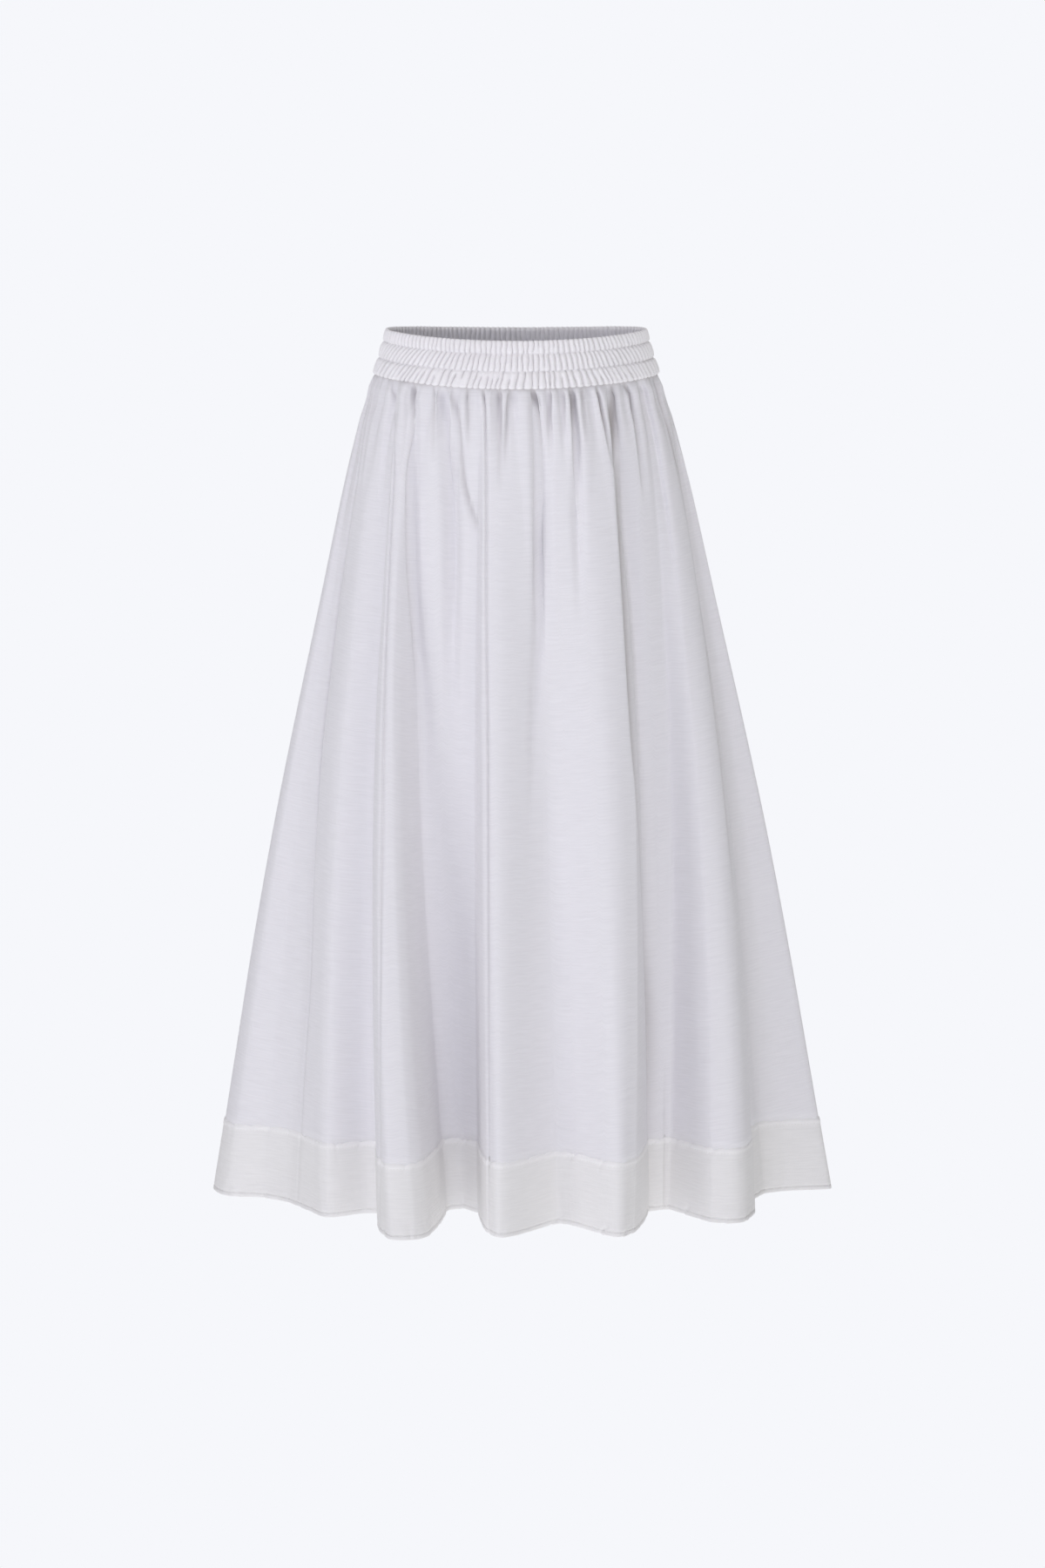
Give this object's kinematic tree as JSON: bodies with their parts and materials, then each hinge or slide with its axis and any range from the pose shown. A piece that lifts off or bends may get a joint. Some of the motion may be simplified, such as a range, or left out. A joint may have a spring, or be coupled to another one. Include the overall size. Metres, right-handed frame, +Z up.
{
  "type": "flared skirt",
  "caption": "Long white flared skirt with a three-channel ruched elastic waistband, gathered panels and a deep hem band, hanging open as worn.",
  "frame": {"origin": "the middle of the waist, at half the waistband's height, where the wearer holds the skirt", "axes": "+Z up the body, the front of the skirt faces -Y, +X to the right of someone who looks at the front"},
  "size_m": [0.6348, 0.4303, 0.8819],
  "materials": {
    "waist_cotton": "ruched plain-weave cotton over elastic, matt",
    "skirt_cotton": "plain-weave cotton with a fine crosswise slub, matt",
    "hem_cotton": "two layers of the same plain-weave cotton, matt"
  },
  "bodies": {
    "root": {"waistband": "waist_cotton", "front_panel": "skirt_cotton", "back_panel": "skirt_cotton", "hem_band_front": "hem_cotton", "hem_band_back": "hem_cotton"}
  },
  "joints": []
}
